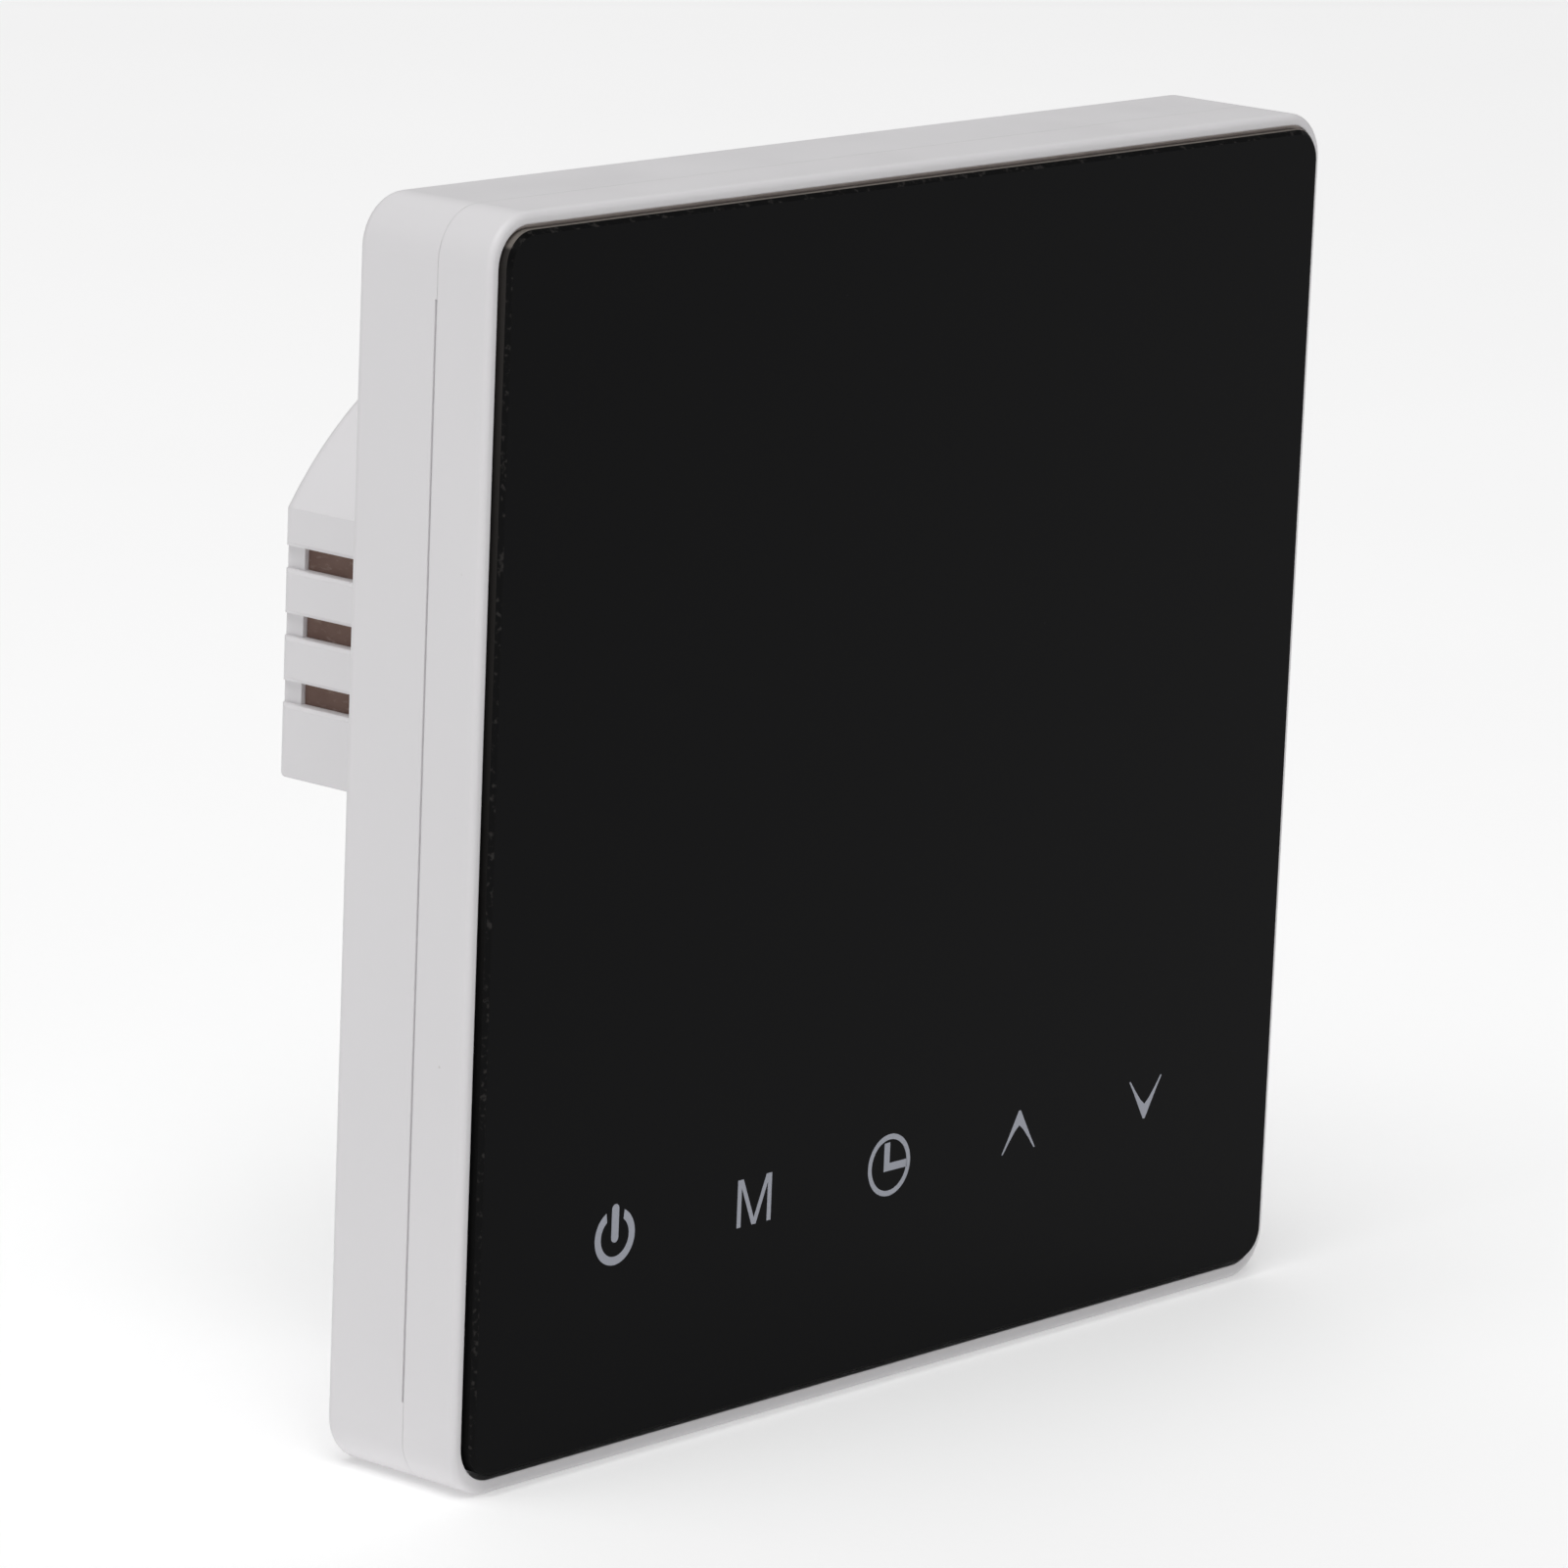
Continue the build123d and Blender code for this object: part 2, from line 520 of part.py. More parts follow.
def glass_panel():
    outline = rect(GLASS_WIDTH, GLASS_HEIGHT, z=GLASS_Z, corner=GLASS_CORNER)
    panel = prism(outline, GLASS_Y, GLASS_BACK_Y)
    return chamfer(edges_at(panel, GLASS_Y), GLASS_CHAMFER)


def glass_adhesive():
    """Frame of double-sided tape under the edge of the glass."""
    width = GLASS_WIDTH - 2 * TAPE_INSET
    height = GLASS_HEIGHT - 2 * TAPE_INSET
    ring = rect(width, height, z=GLASS_Z, corner=1.8)
    ring -= rect(width - 2 * TAPE_WIDTH, height - 2 * TAPE_WIDTH, z=GLASS_Z, corner=1.0)
    return prism(ring, GLASS_BACK_Y, DECK_Y)


def glass_bead():
    """Bead of adhesive in the gap between rim and glass, along the top and round the upper corners."""
    ring = glass_pocket()
    ring -= rect(GLASS_WIDTH, GLASS_HEIGHT, z=GLASS_Z, corner=GLASS_CORNER)
    ring -= rect(PLATE, HALF + BEAD_LOW_Z, z=(BEAD_LOW_Z - HALF) / 2)
    return prism(ring, BEAD_Y, DECK_Y)


# ---- front unit: display ----
def lcd_cell():
    """Two glass plates, the front one shorter so that the contact ledge shows along the bottom."""
    y_split = (LCD_FRONT_Y + LCD_BACK_Y) / 2
    back = prism(rect(LCD_WIDTH, LCD_HEIGHT, z=LCD_Z), y_split, LCD_BACK_Y)
    front = prism(rect(LCD_WIDTH, LCD_HEIGHT - 2.5, z=LCD_Z + 1.25), LCD_FRONT_Y, y_split)
    return back + front


def lcd_backlight():
    """Light guide with its lamp bar along the left side."""
    guide = prism(rect(LCD_WIDTH - 1, LCD_HEIGHT - 1, z=LCD_Z), LCD_BACK_Y + 0.05, BACKLIGHT_BACK_Y - 0.1)
    lamps = prism(rect(1.6, 30, -LCD_WIDTH / 2 + 0.8, LCD_Z), LCD_BACK_Y + 0.05, BACKLIGHT_BACK_Y - 0.1)
    return guide + lamps


def lcd_holder():
    """Frame that holds the display on the board, with four feet through the board."""
    inner = rect(LCD_WIDTH + 0.2, LCD_HEIGHT + 0.2, z=LCD_Z)
    outer = rect(LCD_WIDTH + 3.4, LCD_HEIGHT + 3.4, z=LCD_Z, corner=1.0)
    holder = prism(outer - inner, DECK_BACK_Y + 0.1, CONTROL_BOARD_Y[0])
    for x, z in holder_feet():
        holder += prism(disc(0.7, x, z), CONTROL_BOARD_Y[0] - 0.4, CONTROL_BOARD_Y[1] + 0.5)
    return holder


def holder_feet():
    """Feet of the display holder, at the corners of its frame."""
    dx, dz = (LCD_WIDTH + 1.8) / 2, (LCD_HEIGHT + 1.8) / 2
    return [(sx * dx, LCD_Z + sz * dz) for sx in (-1, 1) for sz in (-1, 1)]


# ---- front unit: control board ----
def control_board():
    board = prism(rect(CONTROL_BOARD, CONTROL_BOARD, corner=2.0), *CONTROL_BOARD_Y)
    for x, z in CONTROL_POSTS:
        board -= prism(disc(SELF_TAP_PILOT_R + 0.15, x, z), -8, 0)
    for x, z in holder_feet():
        board -= prism(disc(0.85, x, z), -8, 0)
    return board


def touch_spring(x):
    """Conducting coil spring between a key's pad on the board and the glass."""
    wire_r, coil_r, turns = 0.3, 3.0, 4
    length = CONTROL_BOARD_Y[0] - GLASS_BACK_Y - 2 * wire_r
    coil = Helix(pitch=length / turns, height=length, radius=coil_r)
    start = Plane(origin=coil @ 0, z_dir=coil % 0)
    wire = sweep(start * Circle(wire_r), path=coil, is_frenet=True)
    return Pos(x, GLASS_BACK_Y + wire_r + 0.02 + length, KEY_Z) * Rot(90, 0, 0) * wire


def key_led(x):
    y = CONTROL_BOARD_Y[0]
    body = block((x - 1.0, x + 1.0), (y - 0.8, y), (KEY_Z - 5.6, KEY_Z - 4.4))
    lens = block((x - 0.6, x + 0.6), (y - 1.1, y - 0.7), (KEY_Z - 5.5, KEY_Z - 4.5))
    return body + lens


def backup_cell():
    """Coin cell with two solder tabs."""
    y = CONTROL_BOARD_Y[1]
    cell = prism(disc(6.25, -24.0, -28.0), y + 0.3, y + 2.3)
    cell = fillet(edges_at(cell, y + 2.3), 0.4)
    cell += block((-25.5, -22.5), (y + 0.1, y + 0.4), (-36.0, -27.0))
    return cell + block((-25.5, -22.5), (y + 0.1, y + 0.4), (-28.0, -20.0))


def buzzer():
    y = CONTROL_BOARD_Y[1]
    case = block((19.5, 28.5), (y, y + 2.4), (14.5, 23.5))
    case = fillet(case.edges().filter_by(Axis.Y), 1.0)
    return case - prism(disc(0.9, 26.3, 21.3), y + 1.2, y + 3)


def room_sensor():
    """Bead thermistor on two leads, at the bottom edge of the control board."""
    y = CONTROL_BOARD_Y[1]
    bead = Pos(SENSOR_X, y + 0.9, -37.2) * scale(Sphere(1.1), by=(1, 0.75, 1.3))
    for x in (SENSOR_X - 0.5, SENSOR_X + 0.5):
        bead += block((x - 0.2, x + 0.2), (y + 0.7, y + 1.1), (-37.2, -31.0))
        bead += block((x - 0.2, x + 0.2), (y, y + 1.1), (-31.4, -31.0))
    return bead


def pin_header():
    """Male header on the wall side of the control board."""
    half = HEADER_PINS * HEADER_PITCH / 2
    y = CONTROL_BOARD_Y[1]
    base = block((-half, half), (y, y + 1.5), (HEADER_Z - 1.25, HEADER_Z + 1.25))
    for x in PIN_X:
        side = PIN_SIDE / 2
        base += block((x - side, x + side), (y, POWER_BOARD_Y[0] - 0.6), (HEADER_Z - side, HEADER_Z + side))
    return base


def main():
    os.makedirs("parts", exist_ok=True)
    board_wall, board_room = POWER_BOARD_Y[1], POWER_BOARD_Y[0]
    save("rear_cover", rear_cover())
    save("rating_label", rating_label())
    save("board_partition", board_partition())
    save("vent_liners", [vent_liner(side) for side in (-1, 1)])
    save("power_board", power_board())
    save("power_board_screws", [self_tapper(x, z, board_room, 1, 6.0) for x, z in POWER_POSTS])
    save("power_relay", power_relay())
    save("transformer_core", transformer_core())
    save("transformer_bobbin", transformer_bobbin())
    save("transformer_winding", transformer_winding())
    save("film_capacitor", film_capacitor())
    capacitors = [electrolytic(-1.4, 12.6, 4.0, 13.0), electrolytic(-1.4, 4.2, 3.15, 10.5)]
    save("electrolytic_capacitors", capacitors)
    save("surge_varistor", surge_varistor())
    save("fuse_resistor", fuse_resistor())
    save("bridge_rectifier", leaded_chip(11.5, -3.3, board_wall, 1, 4.6, 3.8, 2.4, 2))
    save("switching_chip", leaded_chip(-8.0, -12.0, board_room, -1, 3.9, 5.0, 1.6, 4))
    save("header_socket", header_socket())
    save("terminal_block", terminal_block())
    save("terminal_contacts", [terminal_contact(x) for x in POLE_X])
    for number, x in enumerate(POLE_X, start=1):
        save(f"terminal_screw_{number}", terminal_screw(x))
        save(f"clamp_cage_{number}", clamp_cage(x))

    board_room, board_wall = CONTROL_BOARD_Y
    save("front_frame", front_frame())
    save("glass_panel", glass_panel())
    save("glass_adhesive", glass_adhesive())
    save("glass_bead", glass_bead())
    save("lcd_cell", lcd_cell())
    save("lcd_backlight", lcd_backlight())
    save("lcd_holder", lcd_holder())
    save("control_board", control_board())
    save("control_board_screws", [self_tapper(x, z, board_wall, -1, 4.0) for x, z in CONTROL_POSTS])
    save("touch_springs", [touch_spring(x) for x in KEY_X])
    save("key_leds", [key_led(x) for x in KEY_X])
    save("controller_chip", leaded_chip(2.0, -8.0, board_wall, 1, 10.0, 10.0, 1.5, 7))
    save("display_driver_chip", leaded_chip(20.0, -5.0, board_wall, 1, 7.5, 15.0, 2.2, 11))
    save("backup_cell", backup_cell())
    save("buzzer", buzzer())
    save("room_sensor", room_sensor())
    save("pin_header", pin_header())


main()
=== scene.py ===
import math
import random

import bmesh
import bpy
from mathutils import Matrix, Vector


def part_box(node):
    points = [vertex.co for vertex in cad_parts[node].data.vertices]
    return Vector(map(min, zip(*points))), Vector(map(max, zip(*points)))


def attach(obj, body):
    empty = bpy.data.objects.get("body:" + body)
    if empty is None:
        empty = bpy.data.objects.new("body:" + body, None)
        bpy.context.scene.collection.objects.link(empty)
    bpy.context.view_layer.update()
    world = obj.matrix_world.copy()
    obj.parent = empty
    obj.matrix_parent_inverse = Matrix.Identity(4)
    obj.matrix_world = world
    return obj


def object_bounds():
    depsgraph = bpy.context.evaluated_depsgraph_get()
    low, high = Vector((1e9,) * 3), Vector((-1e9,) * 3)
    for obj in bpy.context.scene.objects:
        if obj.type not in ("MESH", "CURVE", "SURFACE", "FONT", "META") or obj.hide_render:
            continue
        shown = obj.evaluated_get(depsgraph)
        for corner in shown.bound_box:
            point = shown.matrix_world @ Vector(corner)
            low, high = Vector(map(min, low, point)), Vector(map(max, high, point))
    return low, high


# Looks of a wall thermostat with a glass front, in metres, in the frame of the CAD model:
# +Z is up, the glass faces -Y, and y = 0 is the wall.

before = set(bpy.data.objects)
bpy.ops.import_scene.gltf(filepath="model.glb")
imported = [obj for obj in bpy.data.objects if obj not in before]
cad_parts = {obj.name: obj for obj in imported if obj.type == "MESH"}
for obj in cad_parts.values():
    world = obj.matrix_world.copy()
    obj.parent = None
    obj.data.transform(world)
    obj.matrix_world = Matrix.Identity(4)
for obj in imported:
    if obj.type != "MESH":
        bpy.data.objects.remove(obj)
cad_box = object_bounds()

MM = 0.001

# ---- camera ----
CAMERA_PLACE = Vector((-0.43019, -0.37697, 0.12587))
CAMERA_AZIMUTH = 48.968  # degrees from +Y towards +X
CAMERA_DOWN = 12.686
CAMERA_ROLL = 2.326
CAMERA_LENS = 193.144
CAMERA_SHIFT = (-0.01078, 0.00563)

# ---- studio: place, aim point, side lengths and watts of each light ----
KEY_LIGHT = ((-1.08, -0.54, 2.76), (0, 0, 0), (2.7, 2.7), 73)
FILL_LIGHT = ((0.9, 1.0, 1.2), (0, 0, 0), (1.4, 1.4), 3)
WORLD_BRIGHTNESS = 0.16
FLOOR_REACH = 4.0
FLOOR_GLOW = 0.28

# ---- surfaces the details stand on ----
GLASS_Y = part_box("glass_panel")[0].y
CONTROL_WALL_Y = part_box("control_board")[1].y
POWER_ROOM_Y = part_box("power_board")[0].y
FLOOR_Z = cad_box[0].z

# ---- printed symbols ----
KEY_PITCH = 14.0 * MM
KEY_CENTRE_X = -0.62 * MM
KEY_Z = -27.08 * MM
INK_THICKNESS = 0.015 * MM

# ---- parts on the boards, in mm ----
TERMINAL_COUNT = 8
TERMINAL_PITCH = 5.0
LCD_PIN_COUNT = 22
LCD_PIN_PITCH = 2.4
LAYOUT_GRID = 0.635
TURNED_SIDES = 16
# (radius, height) of a solder joint, from the board up to its tip
SOLDER_PROFILE = [(0.85, 0.0), (0.62, 0.1), (0.42, 0.28), (0.32, 0.5), (0.24, 0.66), (0.12, 0.74),
                  (0.0, 0.76)]
# length, width and height of the chip parts
CONTROL_RESISTOR = (1.6, 0.8, 0.45)
CONTROL_CERAMIC = (2.0, 1.25, 0.8)
POWER_RESISTOR = (2.0, 1.25, 0.55)
POWER_CERAMIC = (2.0, 1.25, 0.9)


# ---------------------------------------------------------------- camera, light and floor
def add_camera():
    """Camera at the photo's viewing angle."""
    azimuth, down = math.radians(CAMERA_AZIMUTH), math.radians(CAMERA_DOWN)
    level_part = math.cos(down)
    forward = Vector((math.sin(azimuth) * level_part, math.cos(azimuth) * level_part, -math.sin(down)))
    level = Vector((math.cos(azimuth), -math.sin(azimuth), 0))
    right = Matrix.Rotation(-math.radians(CAMERA_ROLL), 3, forward) @ level
    up = right.cross(forward)
    data = bpy.data.cameras.new("camera")
    data.lens = CAMERA_LENS
    data.sensor_width = 36
    data.shift_x, data.shift_y = CAMERA_SHIFT
    data.clip_start = 0.01
    camera = bpy.data.objects.new("camera", data)
    turn = Matrix((right, up, -forward)).transposed().to_4x4()
    camera.matrix_world = Matrix.Translation(CAMERA_PLACE) @ turn
    bpy.context.scene.collection.objects.link(camera)
    bpy.context.scene.camera = camera


def add_softbox(name, place, target, size, power):
    """Rectangular area light that faces a target."""
    data = bpy.data.lights.new(name, "AREA")
    data.shape = "RECTANGLE"
    data.size, data.size_y = size
    data.energy = power
    light = bpy.data.objects.new(name, data)
    light.location = place
    light.rotation_euler = (Vector(target) - Vector(place)).to_track_quat("-Z", "Y").to_euler()
    bpy.context.scene.collection.objects.link(light)


def add_world(brightness):
    world = bpy.data.worlds.new("studio")
    world.use_nodes = True
    background = world.node_tree.nodes["Background"]
    background.inputs["Color"].default_value = (1.0, 0.995, 1.0, 1.0)
    background.inputs["Strength"].default_value = brightness
    bpy.context.scene.world = world


def add_floor(look):
    mesh = bpy.data.meshes.new("floor")
    sides = ((-1, -1), (1, -1), (1, 1), (-1, 1))
    corners = [(x * FLOOR_REACH, y * FLOOR_REACH, FLOOR_Z) for x, y in sides]
    mesh.from_pydata(corners, [], [(0, 1, 2, 3)])
    mesh.materials.append(look)
    floor = bpy.data.objects.new("floor", mesh)
    bpy.context.scene.collection.objects.link(floor)


# ---------------------------------------------------------------- materials
class Look:
    """A Principled material, with short calls for the texture nodes that feed it.

    Texture scales are per metre, because the coordinates are those of the CAD frame.
    """

    def __init__(self, name, **sockets):
        self.material = bpy.data.materials.new(name)
        self.material.use_nodes = True
        self.tree = self.material.node_tree
        self.shader = self.tree.nodes["Principled BSDF"]
        coordinates = self.tree.nodes.new("ShaderNodeTexCoord")
        self.place = coordinates.outputs["Object"]
        self.normal = coordinates.outputs["Normal"]
        for socket, value in sockets.items():
            self.feed(socket.replace("_", " "), value)

    def feed(self, socket, value):
        """Sets a shader socket to a number or colour, or links a texture to it."""
        names = {key.lower(): key for key in self.shader.inputs.keys()}
        target = self.shader.inputs[names[socket.lower()]]
        if isinstance(value, bpy.types.NodeSocket):
            self.tree.links.new(value, target)
        else:
            target.default_value = (*value, 1.0) if isinstance(value, tuple) else value

    def add(self, kind, inputs=(), output=0, **settings):
        """Adds a shader node and gives back one of its outputs."""
        node = self.tree.nodes.new("ShaderNode" + kind)
        for name, value in settings.items():
            setattr(node, name, value)
        for socket, value in dict(inputs).items():
            if isinstance(value, bpy.types.NodeSocket):
                self.tree.links.new(value, node.inputs[socket])
            else:
                node.inputs[socket].default_value = value
        return node.outputs[output]

    def noise(self, scale, detail=2.0, place=None):
        return self.add("TexNoise", {"Vector": place or self.place, "Scale": scale, "Detail": detail})

    def cells(self, scale, distance="EUCLIDEAN"):
        """Distance to the nearest of scattered points."""
        inputs = {"Vector": self.place, "Scale": scale}
        return self.add("TexVoronoi", inputs, "Distance", feature="F1", distance=distance)

    def stretched(self, x, y, z):
        """Object coordinates scaled along each axis, for brushed or drawn textures."""
        return self.add("Mapping", {"Vector": self.place, "Scale": (x, y, z)})

    def axis(self, name, source=None):
        return self.add("SeparateXYZ", {"Vector": source or self.place}, name)

    def math(self, operation, a, b=0.0):
        return self.add("Math", {0: a, 1: b}, operation=operation)

    def ramp(self, value, low, high, start=0.0, end=1.0):
        """Turns the range low to high of a value into start to end."""
        inputs = {"Value": value, "From Min": low, "From Max": high, "To Min": start, "To Max": end}
        return self.add("MapRange", inputs)

    def mix(self, factor, first, second):
        colours = {}
        for socket, value in (("Color1", first), ("Color2", second)):
            colours[socket] = (*value, 1.0) if isinstance(value, tuple) else value
        return self.add("MixRGB", {"Fac": factor, **colours})

    def bump(self, height, depth, normal=None):
        inputs = {"Height": height, "Distance": depth, "Strength": 1.0}
        if normal:
            inputs["Normal"] = normal
        return self.add("Bump", inputs)


def shade(colour, factor):
    return tuple(min(1.0, channel * factor) for channel in colour)


def moulded(name, colour, roughness, grain, depth, variation, **sockets):
    """Moulded plastic, resin or ink: fine grain, cloudy gloss and a slight drift of colour.

    grain and depth are the size and height of the texture in mm.
    """
    look = Look(name, **sockets)
    drift = look.noise(90, 4.0)
    look.feed("Base Color", look.mix(drift, shade(colour, 1 - variation), shade(colour, 1 + variation)))
    look.feed("Roughness", look.ramp(look.noise(260, 3.0), 0.3, 0.7, roughness - 0.06, roughness + 0.06))
    texture = look.noise(1 / (grain * MM), 3.0)
    look.feed("Normal", look.bump(texture, depth * MM))
    return look


def metal(name, colour, roughness, stretch=(1, 1, 12)):
    """Plated or drawn metal: fine lines along one axis, dull patches and pale scuffs."""
    line_width, tarnish = 0.15 * MM, 0.25
    look = Look(name, metallic=1.0)
    patches = look.noise(420, 5.0)
    lines = look.noise(1 / line_width, 2.0, look.stretched(*stretch))
    dull = look.mix(patches, shade(colour, 1 - tarnish), shade(colour, 1.04))
    look.feed("Base Color", look.mix(look.ramp(lines, 0.55, 0.75), dull, shade(colour, 1.1)))
    look.feed("Roughness", look.ramp(patches, 0.35, 0.65, roughness + 0.14, roughness - 0.06))
    look.feed("Normal", look.bump(lines, 0.006 * MM))
    return look


def white_plastic():
    """Housing: spark-textured white moulding with faint handling marks."""
    look = Look("white_plastic")
    drift = look.noise(35, 3.0)
    colour = look.mix(drift, (0.785, 0.772, 0.785), (0.825, 0.812, 0.826))
    specks = look.ramp(look.cells(520), 0.035, 0.06, 1.0, 0.0)
    few = look.ramp(look.noise(190), 0.62, 0.66)
    dirt = look.math("MULTIPLY", specks, few)
    look.feed("Base Color", look.mix(look.math("MULTIPLY", dirt, 0.35), colour, (0.42, 0.40, 0.37)))
    look.feed("Roughness", look.ramp(look.noise(120, 4.0), 0.3, 0.7, 0.38, 0.5))
    softened = look.add("Bevel", {"Radius": 0.14 * MM}, samples=4)
    look.feed("Normal", look.bump(look.noise(4200, 3.0), 0.004 * MM, normal=softened))
    return look


def pressboard():
    """Brown board behind the vent slots, put where the inside of the housing lies in shade (painted shade):
    pressed fibres with pale flecks and dark patches.
    """
    look = Look("pressboard", specular_ior_level=0.25)
    fibres = look.noise(3200, 5.0, look.stretched(1, 0.4, 1))
    # dark brown board colour behind the vents: painted shade
    tint = look.mix(look.noise(520, 3.0), (0.15, 0.088, 0.07), (0.23, 0.155, 0.13))
    look.feed("Base Color", look.mix(look.ramp(fibres, 0.56, 0.7, 0.0, 0.5), tint, (0.32, 0.25, 0.22)))
    look.feed("Roughness", look.ramp(fibres, 0.3, 0.7, 0.7, 0.9))
    look.feed("Normal", look.bump(fibres, 0.02 * MM))
    return look


def black_glass():
    """Polished glass over black print, with a ground chamfer and a matt edge; painted light makes the top
    of the edge pale, and painted shade darkens the sides lower down and the lower chamfer.
    """
    look = Look("black_glass", specular_ior_level=0.05)
    facing = look.math("MULTIPLY", look.axis("Y", look.normal), -1.0)
    edge = look.ramp(facing, 0.3, 0.35, 1.0, 0.0)
    bevel = look.math("MULTIPLY", look.ramp(facing, 0.85, 0.9, 1.0, 0.0), look.ramp(facing, 0.3, 0.35))
    dust = look.ramp(look.cells(330), 0.012, 0.022, 1.0, 0.0)
    rare = look.ramp(look.noise(60), 0.56, 0.6)
    speck = look.math("MULTIPLY", look.math("MULTIPLY", dust, rare), 0.6)
    face = look.mix(speck, (0.0025, 0.0025, 0.0029), (0.06, 0.06, 0.065))
    # the downward-facing chamfer loses its pale chips and stays black: painted shade
    low = look.ramp(look.axis("Z", look.normal), -0.3, -0.2, 1.0, 0.0)
    chips_and_painted_shade = look.math("SUBTRACT", look.ramp(look.noise(2600, 4.0), 0.56, 0.66), low)
    ground = look.mix(chips_and_painted_shade, (0.005, 0.005, 0.0052), (0.028, 0.026, 0.025))
    # the upward-facing matt edge is pale brown-grey: painted light from above
    painted_lit_top_edge = look.mix(look.noise(1800, 4.0), (0.13, 0.115, 0.104), (0.2, 0.182, 0.166))
    # the side edges grow darker towards the bottom: painted shade
    painted_shade_height = look.ramp(look.axis("Z"), -10 * MM, 42 * MM)
    side_edge_painted_shade = look.mix(painted_shade_height, (0.006, 0.006, 0.006), (0.038, 0.035, 0.033))
    edge_with_painted_light = look.mix(look.ramp(look.axis("Z", look.normal), 0.5, 0.6), side_edge_painted_shade, painted_lit_top_edge)
    look.feed("Base Color", look.mix(edge, look.mix(bevel, face, ground), edge_with_painted_light))
    smear = look.ramp(look.noise(48, 5.0), 0.4, 0.7, 0.025, 0.07)
    rough = look.math("MAXIMUM", look.math("MULTIPLY", edge, 0.55), look.math("MULTIPLY", bevel, 0.3))
    look.feed("Roughness", look.math("MAXIMUM", smear, rough))
    grit = look.math("MULTIPLY", look.noise(6000, 2.0), look.ramp(facing, 0.85, 0.9, 1.0, 0.0))
    # the lower chamfer is given the face's normal, so it shades dark like the face: painted shade
    out_of_wall = look.add("CombineXYZ", {"Y": -1.0})
    flush = look.mix(look.math("MULTIPLY", low, bevel), look.normal, out_of_wall)
    look.feed("Normal", look.bump(grit, 0.01 * MM, normal=flush))
    return look


def bead_with_painted_light():
    """Brown-grey sealant with dust in it, made pale as painted light along the top of the glass, and
    darkened towards its lower ends by painted shade.
    """
    look = Look("bead_with_painted_light", specular_ior_level=0.3)
    tone = look.mix(look.noise(700, 4.0), (0.62, 0.54, 0.5), (0.82, 0.74, 0.7))
    # darker towards the lower ends of the bead: painted shade
    painted_shade_down_ends = look.ramp(look.axis("Z"), 32 * MM, 41.5 * MM, 0.8, 0.0)
    look.feed("Base Color", look.mix(painted_shade_down_ends, tone, (0.03, 0.027, 0.026)))
    look.feed("Roughness", look.ramp(look.noise(1400, 3.0), 0.3, 0.7, 0.4, 0.65))
    look.feed("Normal", look.bump(look.noise(2600, 3.0), 0.03 * MM))
    return look


def circuit_board():
    """Solder mask over copper tracks and pours, with plated vias and bare laminate at the edge."""
    look = Look("circuit_board")
    warp = look.noise(240, 1.0)
    tracks = look.cells(430, distance="MANHATTAN")
    lanes = look.math("FRACT", look.math("MULTIPLY", tracks, 4.0))
    copper = look.ramp(lanes, 0.5, 0.56)
    pour = look.ramp(look.noise(110, 0.0), 0.53, 0.54)
    raised = look.math("MAXIMUM", copper, pour)
    mask = look.mix(raised, (0.006, 0.085, 0.03), (0.018, 0.17, 0.062))
    mask = look.mix(look.math("MULTIPLY", warp, 0.3), mask, (0.004, 0.05, 0.02))
    vias = look.ramp(look.cells(300), 0.075, 0.09, 1.0, 0.0)
    mask = look.mix(vias, mask, (0.62, 0.58, 0.45))
    side = look.ramp(look.math("ABSOLUTE", look.axis("Y", look.normal)), 0.5, 0.6, 1.0, 0.0)
    laminate = look.mix(look.noise(2200, 3.0), (0.36, 0.33, 0.12), (0.5, 0.46, 0.2))
    look.feed("Base Color", look.mix(side, mask, laminate))
    look.feed("Metallic", look.math("MULTIPLY", vias, 0.9))
    look.feed("Roughness", look.ramp(look.noise(700, 3.0), 0.3, 0.7, 0.24, 0.36))
    height = look.math("ADD", raised, look.math("MULTIPLY", look.noise(5200, 2.0), 0.12))
    look.feed("Normal", look.bump(height, 0.03 * MM))
    return look


def blank_label():
    """Silver-grey film with an empty printed frame and rows."""
    look = Look("blank_label")
    plane = look.add("Mapping", {"Vector": look.place, "Rotation": (math.radians(90), 0, 0)})
    inputs = {"Vector": plane, "Scale": 1.0, "Mortar Size": 0.12 * MM, "Mortar Smooth": 0.0,
              "Brick Width": 15.5 * MM, "Row Height": 3.6 * MM}
    lines = look.add("TexBrick", inputs, "Fac", offset=0.0, squash=1.0)
    film = look.mix(look.noise(600, 4.0), (0.6, 0.6, 0.595), (0.7, 0.7, 0.69))
    look.feed("Base Color", look.mix(lines, film, (0.16, 0.16, 0.17)))
    look.feed("Roughness", look.ramp(look.noise(1500, 3.0), 0.3, 0.7, 0.28, 0.42))
    look.feed("Normal", look.bump(look.noise(2500, 2.0), 0.004 * MM))
    return look


def taped_winding():
    """Polyester tape wound about X: the laps show as fine ridges with a glossy film."""
    look = Look("taped_winding", coat_weight=0.5, coat_roughness=0.12)
    laps = look.math("FRACT", look.math("MULTIPLY", look.axis("X"), 420.0))
    ridge = look.ramp(laps, 0.0, 0.12)
    wrinkle = look.noise(900, 4.0, look.stretched(0.3, 1, 1))
    tint = look.mix(wrinkle, (0.62, 0.40, 0.02), (0.86, 0.62, 0.05))
    look.feed("Base Color", look.mix(look.math("MULTIPLY", ridge, 0.85), (0.36, 0.2, 0.02), tint))
    look.feed("Roughness", look.ramp(wrinkle, 0.3, 0.7, 0.22, 0.4))
    look.feed("Normal", look.bump(look.math("ADD", ridge, wrinkle), 0.03 * MM))
    return look


